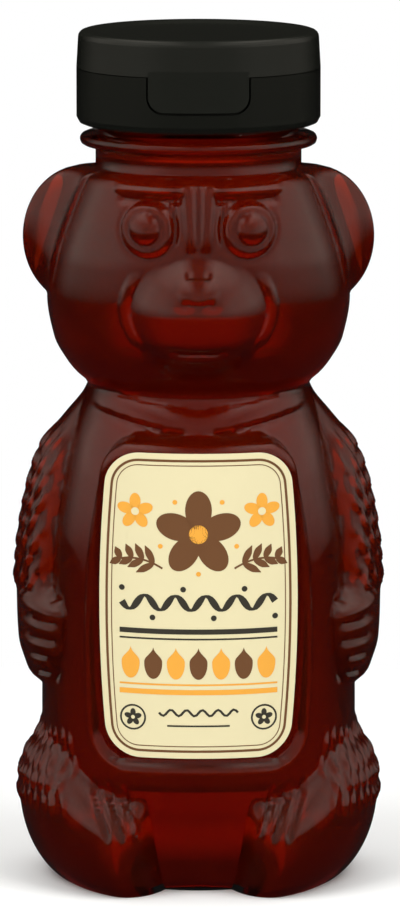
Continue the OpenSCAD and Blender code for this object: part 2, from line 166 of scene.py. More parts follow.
def table(rows, base, top, scales):
    """Shares of a height and of some sizes, as rows of height and sizes."""
    rows = np.array(rows, float)
    return np.column_stack([base + rows[:, 0] * (top - base)] + [rows[:, i + 1] * s for i, s in enumerate(scales)])


def curve(T, z):
    """Smooth curves through the rows of T, height first: cubic Hermite pieces whose slopes are the
    harmonic mean of the rises beside them, and 0 where these differ in sign."""
    h = np.diff(T[:, 0])[:, None]
    rise = np.diff(T[:, 1:], axis=0) / h
    p, q = rise[:-1], rise[1:]
    both = np.where(p + q == 0, 1, p + q)
    slope = np.vstack([rise[:1], np.where(p * q <= 0, 0, 2 * p * q / both), rise[-1:]])
    i = np.clip(np.searchsorted(T[:, 0], z, side="right") - 1, 0, len(T) - 2)
    u = clip((z - T[i, 0]) / h[i, 0])[:, None]
    return ((1 + 2 * u) * (1 - u) ** 2 * T[i, 1:] + u * (1 - u) ** 2 * h[i] * slope[i]
            + u * u * (3 - 2 * u) * T[i + 1, 1:] + u * u * (u - 1) * h[i] * slope[i + 1])


TORSO = np.vstack([table([
    [0, 0.84, 0.60, 0.79], [0.017, 0.90, 0.66, 0.87], [0.058, 0.953, 0.74, 0.935],
    [0.138, 0.985, 0.857, 0.98], [0.241, 0.996, 0.985, 1], [0.345, 1, 1, 1], [0.517, 0.989, 0.989, 1],
    [0.69, 0.953, 0.96, 0.98], [0.828, 0.88, 0.894, 0.93], [0.908, 0.815, 0.828, 0.866],
    [0.966, 0.745, 0.751, 0.79]], 0, BODY_H, [TORSO_W / 2, BELLY, BACK]),
    [[BODY_H, CREASE_R, CREASE_R - 0.2, CREASE_R], [BODY_H + 9, 12, 12, 12]]])
HEAD = np.vstack([[[CREASE - 7, 12, 12, 12], [CREASE, CREASE_R, CREASE_R, CREASE_R]], table([
    [0.03, 0.755, 0.81, 0.81], [0.058, 0.803, 0.855, 0.845], [0.115, 0.871, 0.91, 0.9],
    [0.224, 0.955, 0.975, 0.97], [0.408, 1, 1, 1], [0.58, 0.97, 0.99, 0.985],
    [0.724, 0.909, 0.967, 0.95], [0.842, 0.848, 0.926, 0.9], [0.921, 0.803, 0.885, 0.855],
    [0.974, 0.765, 0.844, 0.82], [1, 0.66, 0.71, 0.7]], CREASE, CROWN, [HEAD_W / 2, FACE, NAPE])])
ARM_L = BODY_H - HAND_Z
ARM = table([
    [0, 0.857, HAND_A + 16, 98], [0.034, 0.929, HAND_A + 8, 101], [0.074, 0.957, HAND_A + 3, 104],
    [0.155, 0.994, HAND_A, 106], [(HAND_L - 3) / ARM_L, 1.002, HAND_A, 108],
    [(HAND_L + 2) / ARM_L, 1.003, ARM_A, 109], [0.457, 0.991, ARM_A + 0.5, 110],
    [0.616, 0.95, ARM_A + 1, 111], [0.737, 0.898, ARM_A + 2, 112], [0.816, 0.839, ARM_A + 3.5, 112],
    [0.898, 0.733, ARM_A + 7.5, 112], [0.98, 0.621, ARM_A + 10.5, 112], [1.05, 0.56, ARM_A + 10.5, 112]],
    HAND_Z, BODY_H, [ARMS_W / 2, 1, 1])


def strokes(x, z, lines, width):
    """Short raised strokes: a bell of the distance to the nearest of the bent lines, each an array
    of points (x, z), thinned towards its ends."""
    out = np.zeros(np.broadcast(x, z).shape)
    for line in lines:
        for k, (a, b) in enumerate(zip(line[:-1], line[1:])):
            d = b - a
            u = clip(((x - a[0]) * d[0] + (z - a[1]) * d[1]) / (d @ d))
            far = np.hypot(x - a[0] - u * d[0], z - a[1] - u * d[1])
            along = (k + u) / (len(line) - 1)
            out = np.maximum(out, bell(far / width) * (0.35 + 0.65 * np.sin(np.pi * clip(along))))
    return out


def tufts(x0, x1, z0, z1, nx, nz, lean, long, seed):
    """Bent strokes in staggered rows over a patch, each a quarter of a turn of a loose curl."""
    pick = np.random.default_rng(seed)
    s = np.linspace(0, 1, 5)[:, None]
    lines = []
    for i in range(nz):
        for j in range(nx):
            at = np.array([x0 + (x1 - x0) * (j + 0.5 * (i % 2) + 0.25) / nx, z0 + (z1 - z0) * (i + 0.5) / nz])
            at = at + pick.uniform(-0.35, 0.35, 2)
            turn = math.radians(lean + pick.uniform(-14, 14))
            way = np.array([math.sin(turn), -math.cos(turn)])
            side = np.array([way[1], -way[0]])
            size = long * pick.uniform(0.8, 1.15)
            lines.append(at + (s - 0.5) * size * way + side * size * 0.24 * (4 * s * (1 - s) - 0.5))
    return lines


FUR_ARM = tufts(33.5, 54, 51.5, 78.5, 7, 8, 18, 4.2, 3)
FUR_THIGH = tufts(26, 51, 13.5, 28, 9, 4, -12, 3.4, 8)


def arm(t, z, A, T):
    """A roll between two angles: its outer radius less the torso's, times a flattened arch."""
    u = (t - A[:, 1:2]) / (A[:, 2:3] - A[:, 1:2])
    arch = np.sqrt(np.maximum(1 - np.abs(2 * u - 1) ** 2.8, 0))
    h = soft(np.maximum(A[:, :1] - T, 0) * arch * dome((z - HAND_Z) / 3), 0.4)
    return np.where((u <= 0) | (u >= 1) | (z < HAND_Z), 0, h)


def leg(t, z, T):
    """A thick roll from the hip to the foot: half circles in height on a radius that grows
    forwards to the toes."""
    w = ease(24, 66, t)
    zc = FOOT_TOP / 2 + (THIGH_Z - FOOT_TOP / 2) * w
    up = (FOOT_TOP - zc) + (THIGH_TOP - FOOT_TOP) * w
    R = TOES_R + (LEGS_W / 2 + 0.05 - TOES_R) * w
    q = (z - zc) / np.where(z > zc, up, 12.7 + 4.7 * w)
    h = np.maximum(R - LEG_T + LEG_T * bulge(q) - T, 0) * dome((t - FOOT_A) / 13) * dome((150 - t) / 60)
    return np.where(np.abs(q) >= 1, 0, soft(h, 0.3))


def panel(t, z, r, bead=0.0):
    """The label's panel: part of an upright cylinder inside a rounded rectangle with bowed sides,
    joined to the belly by a sloping rim with a bead on its edge and a groove at its foot."""
    c = PANEL_FRONT - PANEL_BEND
    s = np.sin(np.radians(t))
    p = c * np.cos(np.radians(t)) + np.sqrt(PANEL_BEND ** 2 - (c * s) ** 2)
    hh = PANEL_H / 2
    hw = PANEL_W / 2 - LABEL_BOW * ((z - PANEL_Z) / hh) ** 2
    qx, qz = p * s - (hw - PANEL_CORNER), np.abs(z - PANEL_Z) - (hh - PANEL_CORNER)
    depth = PANEL_CORNER - np.minimum(np.maximum(qx, qz), 0) - np.hypot(np.maximum(qx, 0), np.maximum(qz, 0))
    inside = (t <= 80) & (np.abs(z - PANEL_Z) <= hh)
    rim = bell((depth - 0.8) / 0.5) - 0.8 * bell((depth - 2.0) / 0.5)
    return np.where(inside, r + (p - r) * ease(0, PANEL_RIM, depth) + bead * rim, r)


def ear(t, z, H):
    """A cup on the side of the head, open to the front, with a fine ridge before its dish."""
    q = (z - EAR_C) / (EAR_H / 2)
    edge = 67.5 + 0.35 * (CROWN - 1 - z)
    u = (t - edge) / (89.5 - edge)
    dish = np.where(u < 0.24, 0.22 * np.sin(np.pi * clip(u / 0.24)), 0) + clip((u - 0.2) / 0.8) ** 2
    h = np.maximum(EARS_W / 2 - 10 + 10 * bulge(q) - H, 0)
    h = h * np.where(t >= 89.5, bulge(clip((t - 92.5) / 20)), dish)
    return np.where((np.abs(q) >= 1) | (t <= edge) | (t > 112.5), 0, h)


def snout(t, z):
    """Where a line from the axis leaves an ellipsoid."""
    a, cy = SNOUT_W / 2, SNOUT_REACH - 0.6 - SNOUT_D
    s, c = np.sin(np.radians(t)), np.cos(np.radians(t))
    q = 1 - ((z - SNOUT_C) / (SNOUT_H / 2)) ** 2
    A = (s / a) ** 2 + (c / SNOUT_D) ** 2
    B = c * cy / SNOUT_D ** 2
    D = B * B - A * ((cy / SNOUT_D) ** 2 - q)
    return np.where((D <= 0) | (q <= 0) | (t > 90), 0, (B + np.sqrt(np.maximum(D, 0))) / A)


def button(x, z, r, h):
    return h * bulge(np.minimum(np.hypot(x, z) / r, 1))


def face(x, z, size):
    """Eyes, brows, the bridge of the nose, the nose, nostrils, the mouth and the cheeks' folds."""
    fold = SNOUT_W / 2 + 0.7 - 2.2 * ((z - SNOUT_C - 1.4) / 6) ** 2
    far = np.hypot(x - EYE_X, z - EYE_Z + 0.9)
    deep = size.creases / MM
    # The bridge: a ridge on each side of the middle, thinner and lower towards its lower end
    down = clip((CROWN - z) / 12)
    ridge = bell(((x - 1.85 + 0.6 * down) / (1.15 - 0.4 * down)) ** 2) * 0.8 * (1 - down) ** 0.4
    return (
        0.55 * ease(EYE_R + 0.35, EYE_R - 0.35, far) + 0.15 * bell((far - EYE_R + 0.5) / 0.4)
        + button(x - EYE_X - 0.3, z - EYE_Z + 0.6, 0.58 * EYE_R, 1.15)
        - 0.25 * bell((far - EYE_R - 0.6) / 0.45)
        + 0.6 * bell((z - CROWN + 1.9) / 0.6) * ease(15, 13.4, x) * ease(1.8, 3, x)
        - 0.85 * bell((z - CROWN + 3.7) / 0.75) * ease(2.6, 3.6, x) * ease(14.2, 13, x)
        + ridge - 0.45 * bell((x - 4.1) / 0.7) * ease(CROWN - 13, CROWN - 9, z) * ease(CROWN - 2, CROWN - 4, z)
        + button(x / 1.7, z - SNOUT_C - 5.4, 2.3, 0.5)
        - 0.4 * bell((z - 109) / 0.4) * ease(2.6, 1.6, x)
        - 0.35 * bell((x - 2.4) / 1.1) * bell((z - 104.2) / 0.6)
        + 0.6 * bulge((x - fold) / 1) * ease(SNOUT_C - 5.6, SNOUT_C - 3.6, z) * ease(SNOUT_C + 7.4, SNOUT_C + 5.4, z)
        - deep * bell((z - SNOUT_C + 6 - 0.02 * x * x) / 0.5) * ease(5.6, 4.2, x)
    )


def limbs_detail(t, z, r, size):
    """Fur strokes, grooves between the fingers and toes, and the roll of the collar."""
    around = np.radians(t) * 31
    fur = strokes(around, z, FUR_ARM, 0.5) * ease(70, 74, t) + strokes(around, z, FUR_THIGH, 0.5) * ease(44, 50, t)
    h = size.fur / MM * fur
    for z0 in (50.5, 46.9, 43.7, 40.4, 37.4):
        h = h - size.fingers / MM * bell((z - z0 - 0.05 * (t - 62)) / 0.5) * ease(HAND_A, HAND_A + 3, t) * ease(84, 77, t)
    x = r * np.sin(np.radians(t))
    for x0 in (11.6, 14.2, 16.8):
        h = h - (size.toes / MM * bell((x - x0 - 0.3 * (z - 15)) / 0.38) * ease(10.6, 12, z)
                 * ease(20.4, 18.8, z) * ease(FOOT_A, FOOT_A + 2, t) * ease(46, 42, t))
    h = h + size.collar / MM * bulge((z - 82.6 - 0.2 * x) / 1.9) * ease(20.5, 16.5, x)
    return h - 0.45 * bell((z - 80.1 - 0.2 * x) / 0.55) * ease(19, 15, x)


def skin_radius(theta, z, size=None):
    """The outside's radius for the angles and heights given, with the fine details where size is."""
    t, z1 = np.abs(theta)[None, :], z
    z = z[:, None]
    s, c = np.abs(np.sin(np.radians(t))), np.abs(np.cos(np.radians(t)))

    def section(P, n):
        return ((s / P[:, :1]) ** n + (c / np.where(t < 90, P[:, 1:2], P[:, 2:3])) ** n) ** (-1 / n)

    T = section(curve(TORSO, z1), 2.2)
    body = T + np.maximum(arm(t, z, curve(ARM, z1), T), leg(t, z, T))
    if size is not None:
        body = body + limbs_detail(t, z, body, size)
    body = panel(t, z, body, 0 if size is None else size.rim / MM)
    H = section(curve(HEAD, z1), 2.15)
    top = joined_max(H + ear(t, z, H), snout(t, z), 1.6)
    if size is not None:
        top = np.where(t > 60, top, top + face(top * np.sin(np.radians(t)), z, size))
    both = np.where(z < CREASE - 7, body, np.where(z > CREASE + 8, top, np.maximum(body, top)))
    return np.maximum(NECK_R, both)


def stations(parts):
    """Values from a list of (first, last, count), without the last of each, and the very last."""
    return np.concatenate([np.linspace(a, b, n, endpoint=False) for a, b, n in parts] + [[parts[-1][1]]])


# ---------------------------------------------------------------- meshes

def make(name, verts, quads=(), tris=(), uv=None, sharp=None, smooth=True):
    """An object at the origin with the vertices given in millimetres, and its quads and triangles."""
    quads, tris = np.asarray(quads, np.int32).reshape(-1, 4), np.asarray(tris, np.int32).reshape(-1, 3)
    loops = np.concatenate([quads.ravel(), tris.ravel()])
    starts = np.concatenate([np.arange(len(quads)) * 4, 4 * len(quads) + np.arange(len(tris)) * 3])
    mesh = bpy.data.meshes.new(name)
    mesh.vertices.add(len(verts))
    mesh.vertices.foreach_set("co", np.ascontiguousarray(verts * MM, np.float32).ravel())
    mesh.loops.add(len(loops))
    mesh.loops.foreach_set("vertex_index", loops)
    mesh.polygons.add(len(starts))
    mesh.polygons.foreach_set("loop_start", starts.astype(np.int32))
    mesh.polygons.foreach_set("use_smooth", np.full(len(starts), smooth))
    mesh.update(calc_edges=True)
    if mesh.validate():
        raise RuntimeError(f"the mesh of {name} isn't valid")
    if uv is not None:
        mesh.uv_layers.new(name="flat").data.foreach_set("uv", np.ascontiguousarray(uv[loops], np.float32).ravel())
    if sharp is not None:
        mesh.set_sharp_from_angle(angle=math.radians(sharp))
    obj = bpy.data.objects.new(name, mesh)
    bpy.context.scene.collection.objects.link(obj)
    return obj


def sheet_faces(m, n, wrap=False, start=0):
    """The quads of a grid of m rows and n columns; wrap joins the last column to the first."""
    i, j = np.meshgrid(np.arange(m - 1), np.arange(n if wrap else n - 1), indexing="ij")
    k = (j + 1) % n
    return start + np.stack([i * n + j, i * n + k, (i + 1) * n + k, (i + 1) * n + j], -1).reshape(-1, 4)


def turned(rings, low, high):
    """A closed skin through rings of points, from the pole low to the pole high."""
    m, n = rings.shape[:2]
    verts = np.vstack([rings.reshape(-1, 3), [low], [high]])
    j = np.arange(n)
    k = (j + 1) % n
    tris = np.vstack([np.stack([np.full(n, m * n), k, j], 1),
                      np.stack([(m - 1) * n + j, (m - 1) * n + k, np.full(n, m * n + 1)], 1)])
    return verts, sheet_faces(m, n, True), tris


def eased(profile, r, n=3):
    """A profile whose corners are rounded: each gives way to a parabola that begins and ends r, or
    at most 0.4 of the side, away from it."""
    P = np.array(profile, float)
    out = [P[:1]]
    s = np.linspace(0, 1, n)[:, None]
    for a, b, c in zip(P[:-2], P[1:-1], P[2:]):
        u, v = a - b, c - b
        p = b + u * min(r / np.linalg.norm(u), 0.4)
        q = b + v * min(r / np.linalg.norm(v), 0.4)
        out.append((1 - s) ** 2 * p + 2 * s * (1 - s) * b + s * s * q)
    return np.vstack(out + [P[-1:]])


def rings_at(R, theta, Z):
    """Points at the radii R, directions theta and heights Z, round the neck's axis."""
    a = np.radians(theta)[None, :]
    return np.stack([R * np.sin(a), AXIS_Y - R * np.cos(a), np.broadcast_to(Z, R.shape)], -1)


def band(pitch_r, root_r, crest_r, z0, turns, root_w, crest_w, n=220):
    """A screw thread's ridge: a trapezium carried along a right-handed helix, lower at both ends."""
    s = np.linspace(0, 1, n)
    a = 2 * np.pi * turns * s - 1.2
    fade = dome(s / 0.08) * dome((1 - s) / 0.08)
    crest = root_r + (crest_r - root_r) * (0.04 + 0.96 * fade)
    inner = root_r + np.sign(root_r - crest_r) * 0.25
    r = np.stack([np.full(n, inner), np.full(n, root_r), crest, crest, np.full(n, root_r), np.full(n, inner)], 1)
    w = np.array([-root_w, -root_w, -crest_w, crest_w, root_w, root_w]) / 2
    z = z0 + PITCH * turns * s[:, None] + w[None, :]
    verts = np.stack([r * np.cos(a)[:, None], AXIS_Y + r * np.sin(a)[:, None], z], -1).reshape(-1, 3)
    ends = [[5, 4, 1, 0], [4, 3, 2, 1]]
    last = [[(n - 1) * 6 + v for v in reversed(f)] for f in ends]
    return verts, np.vstack([sheet_faces(n, 6, True), ends, last])


def outward(obj):
    """Turns all faces of a closed mesh outwards."""
    work = bmesh.new()
    work.from_mesh(obj.data)
    bmesh.ops.recalc_face_normals(work, faces=work.faces)
    work.to_mesh(obj.data)
    work.free()


# ---------------------------------------------------------------- materials

def add(tree, kind, inputs=None, **settings):
    """One node with its settings, and its inputs as values or as other nodes' outputs."""
    node = tree.nodes.new(kind)
    for name, value in settings.items():
        setattr(node, name, value)
    for key, value in (inputs or {}).items():
        if isinstance(value, bpy.types.NodeSocket):
            tree.links.new(value, node.inputs[key])
        else:
            node.inputs[key].default_value = value
    return node


def material(name, values, grain=None, volume=None):
    """A Principled material. grain is (size in mm, height in mm) of a fine uneven surface."""
    mat = bpy.data.materials.new(name)
    mat.use_nodes = True
    tree = mat.node_tree
    tree.nodes.clear()
    surface = add(tree, "ShaderNodeBsdfPrincipled", values)
    out = add(tree, "ShaderNodeOutputMaterial", {"Surface": surface.outputs[0]})
    if grain:
        place = add(tree, "ShaderNodeTexCoord").outputs["Object"]
        noise = add(tree, "ShaderNodeTexNoise", {"Vector": place, "Scale": 1 / (grain[0] * MM), "Detail": 3.0,
                                                 "Roughness": 0.55})
        bump = add(tree, "ShaderNodeBump", {"Height": noise.outputs[0], "Distance": grain[1] * MM, "Strength": 1.0})
        tree.links.new(bump.outputs[0], surface.inputs["Normal"])
    if volume:
        tint, density = volume
        fill = add(tree, "ShaderNodeVolumeAbsorption", {"Color": (*tint, 1), "Density": density})
        tree.links.new(fill.outputs[0], out.inputs["Volume"])
    return mat


def mirrored(tree, seen):
    """1 for a ray that a gloss reflects; a ray through a clear piece counts as glossy too."""
    return add(tree, "ShaderNodeMath", {0: seen.outputs["Is Glossy Ray"], 1: seen.outputs["Is Transmission Ray"]},
               operation="SUBTRACT", use_clamp=True).outputs[0]


def rgba(c):
    return (c[0], c[1], c[2], 1.0)


def dress(obj, mat):
    obj.data.materials.clear()
    obj.data.materials.append(mat)
    return obj


# ---------------------------------------------------------------- the label's print

def on_label(u, v, lift):
    """Points u to the right and v up on the label's face, lift above it."""
    R = PANEL_BEND + 0.04 + LABEL_T + lift
    return np.stack([u, AXIS_Y + PANEL_BEND - PANEL_FRONT - np.sqrt(R * R - u * u), PANEL_Z + v], -1)


def label_half(v, inset=0.0):
    """Half the label's width at the height v: bowed sides and round corners, inset from the edge."""
    H, rc = LABEL_H / 2 - inset, max(LABEL_CORNER - inset, 0.6)
    side = LABEL_W / 2 - inset - LABEL_BOW * (v / (LABEL_H / 2)) ** 2
    over = np.clip(np.abs(v) - (H - rc), 0, rc)
    return side - (rc - np.sqrt(np.maximum(rc * rc - over * over, 0)))


class Print:
    """Flat shapes of one ink, gathered into one mesh on the label's face."""

    def __init__(self, lift):
        self.lift, self.verts, self.quads, self.tris, self.count = lift, [], [], [], 0

    def put(self, u, v, quads, tris=()):
        self.verts.append(on_label(u.ravel(), v.ravel(), self.lift))
        self.quads.append(np.asarray(quads, int).reshape(-1, 4) + self.count)
        self.tris.append(np.asarray(tris, int).reshape(-1, 3) + self.count)
        self.count += u.size

    def shape(self, at, outline, rings=6):
        """A shape that a point at its middle sees whole: its outline drawn in to that point."""
        out = np.array(outline, float)
        n = len(out)
        k = (np.arange(1, rings + 1) / rings)[:, None, None]
        pts = np.vstack([[at], (np.array(at) + (out[None] + 0) * k).reshape(-1, 2)])
        j = np.arange(n)
        fan = np.stack([np.zeros(n, int), 1 + j, 1 + (j + 1) % n], 1)
        quads = 1 + sheet_faces(rings, n, True)[:, [0, 3, 2, 1]]
        self.put(pts[:, 0], pts[:, 1], quads, fan)

    def line(self, path, width):
        """A line of the given width along a path of points."""
        P = np.array(path, float)
        long = np.concatenate([[0], np.cumsum(np.linalg.norm(np.diff(P, axis=0), axis=1))])
        s = np.linspace(0, long[-1], max(int(long[-1] / 0.5), 2) + 1)
        P = np.stack([np.interp(s, long, P[:, 0]), np.interp(s, long, P[:, 1])], 1)
        way = np.gradient(P, axis=0)
        way /= np.linalg.norm(way, axis=1)[:, None]
        side = np.stack([-way[:, 1], way[:, 0]], 1)
        w = np.broadcast_to(width, long.shape) if np.ndim(width) else np.full(long.shape, width)
        w = np.interp(s, long, w)[:, None, None] * np.linspace(0.5, -0.5, 3)[None, :, None]
        pts = P[:, None] + side[:, None] * w
        self.put(pts[..., 0], pts[..., 1], sheet_faces(len(P), 3)[:, ::-1])

    def object(self, name, mat):
        obj = make(name, np.vstack(self.verts), np.vstack(self.quads), np.vstack(self.tris), smooth=False)
        return dress(obj, mat)


def oval(a, b, turn=0.0, point=0.0, n=40):
    """An oval of half axes a and b, turned by degrees; point draws its first end to a tip."""
    f = np.linspace(0, 2 * np.pi, n, endpoint=False)
    x, y = a * np.cos(f), b * np.sin(f)
    y = y * (1 - point * ease(0.15 * a, a, x)) if point else y
    c, s = math.cos(math.radians(turn)), math.sin(math.radians(turn))
    return np.stack([x * c - y * s, x * s + y * c], 1)


# ---------------------------------------------------------------- operators

class Piece:
    bl_options = {"REGISTER", "UNDO"}

    def execute(self, context):
        self.build(context.scene.honey_bear_sizes, context.scene.honey_bear_colours)
        return {"FINISHED"}


class HONEYBEAR_OT_skin(Piece, bpy.types.Operator):
    """Blows the bear: one closed PET skin with its neck, bead and bore"""
    bl_idname = "honey_bear.skin"
    bl_label = "Blown Skin"

    def build(self, size, tint):
        theta = stations([(-180, -116, 26), (-116, -56, 92), (-56, 56, 180), (56, 116, 92), (116, 180, 26)])[:-1]
        z = np.concatenate([[0, 0.1, 0.24, 0.5, 0.9], stations([(1.5, 33, 38), (33, 82, 64), (82, 91, 16),
                                                              (91, 124.7, 80)])])
        R = skin_radius(theta, z, size)
        one = np.ones_like(theta)[None, :]
        # The push-up under the base: (1 - sin^2 a, sin a) shares of its radius and height
        a = np.radians([72, 54, 40, 28, 17, 8, 0])[:, None]
        base_r = np.vstack([PUSH_R * (1 - np.sin(a) ** 2) * one, PUSH_R + (R[:1] - PUSH_R) * 0.06,
                            PUSH_R + (R[:1] - PUSH_R) * 0.94])
        base_z = np.vstack([PUSH_H * np.sin(a), [[0]], [[0]]])
        low = BEAD_TOP - BEAD_T
        neck = eased([[18.6, 124.9], [NECK_R + 0.5, 125.2], [NECK_R + 0.5, low - 0.8], [NECK_R + 1, low - 0.3],
                      [BEAD_R - 0.4, low], [BEAD_R, low + 0.5], [BEAD_R, BEAD_TOP - 0.5],
                      [BEAD_R - 0.5, BEAD_TOP], [NECK_R, BEAD_TOP], [NECK_R, RIM_Z - 0.4], [NECK_R - 0.4, RIM_Z],
                      [BORE_R, RIM_Z], [BORE_R, BEAD_TOP + 0.4]], 0.25, 2)
        rows = np.vstack([base_r, R, neck[:, :1] * one])
        heights = np.vstack([base_z, z[:, None], neck[:, 1:]])
        verts, quads, tris = turned(rings_at(rows, theta, heights), (0, AXIS_Y, PUSH_H), (0, AXIS_Y, BEAD_TOP + 0.2))
        obj = make("bear_skin", verts, quads, tris, sharp=58)
        # Blown PET, moulded glossy: clear, with the slow waves of a blown wall, about 11 mm long
        mat = material("blown_clear_pet", {"Base Color": rgba(tint.pet), "Roughness": 0.045, "IOR": 1.575,
                                           "Transmission Weight": 1.0}, grain=(11, 0.05))
        dress(obj, mat)
        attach(obj, "bottle")
        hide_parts("bottle")
        verts, quads = band(0, NECK_R, NECK_R + size.thread / MM, 132.9, 1.35, 2.0, 0.9)
        ridge = dress(make("neck_thread", verts, quads, sharp=40), mat)
        outward(ridge)
        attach(ridge, "bottle")


class HONEYBEAR_OT_honey(Piece, bpy.types.Operator):
    """Fills the bottle: the honey keeps the wall's thickness from the skin"""
    bl_idname = "honey_bear.honey"
    bl_label = "Honey"

    def build(self, size, tint):
        theta = stations([(-180, -116, 28), (-116, -56, 60), (-56, 56, 120), (56, 116, 60), (116, 180, 28)])[:-1]
        z = stations([(1.3, 33, 30), (33, 82, 54), (82, 91, 14), (91, CROWN - 1, 66)])
        # The least of the skin's radii close by, less half the wall
        R = np.min([skin_radius(theta + dt, np.maximum(z + dz, 0), size) for dt in (-1, 0, 1)
                    for dz in (-0.5, 0, 0.5)], axis=0) - WALL / 2
        one = np.ones_like(theta)[None, :]
        a = np.radians([72, 54, 40, 28, 17, 8])[:, None]
        under_r = (PUSH_R + WALL) * (1 - np.sin(a) ** 2) * one
        under_z = np.maximum((PUSH_H + WALL) * np.sin(a), 1.3)
        # It stands in the neck as far as the bead, and wets the wall a little higher
        neck = np.array([[NECK_R - 0.3, CROWN + 0.2], [NECK_R - 0.3, BEAD_TOP + 0.9], [BORE_R - 0.9, BEAD_TOP + 0.3],
                         [BORE_R - 5, BEAD_TOP]])
        rows = np.vstack([under_r, R, neck[:, :1] * one])
        heights = np.vstack([under_z, z[:, None], neck[:, 1:]])
        verts, quads, tris = turned(rings_at(rows, theta, heights), (0, AXIS_Y, PUSH_H + WALL),
                                    (0, AXIS_Y, BEAD_TOP))
        obj = make("honey_fill", verts, quads, tris)
        # Raw honey: a dark amber liquid, seen through the wall that it wets, so without a gloss of
        # its own; its pollen and fine crystals scatter a little light back, red-brown. Short ways
        # through it stay orange, long ones go dark red
        mat = material("raw_honey", {"Base Color": rgba(tint.cloud), "Roughness": 0.0, "IOR": 1.0,
                                     "Transmission Weight": 0.87, "Specular IOR Level": 0.0},
                       volume=(tint.honey, 205.0))
        dress(obj, mat)
        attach(obj, "bottle")
        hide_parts("honey")


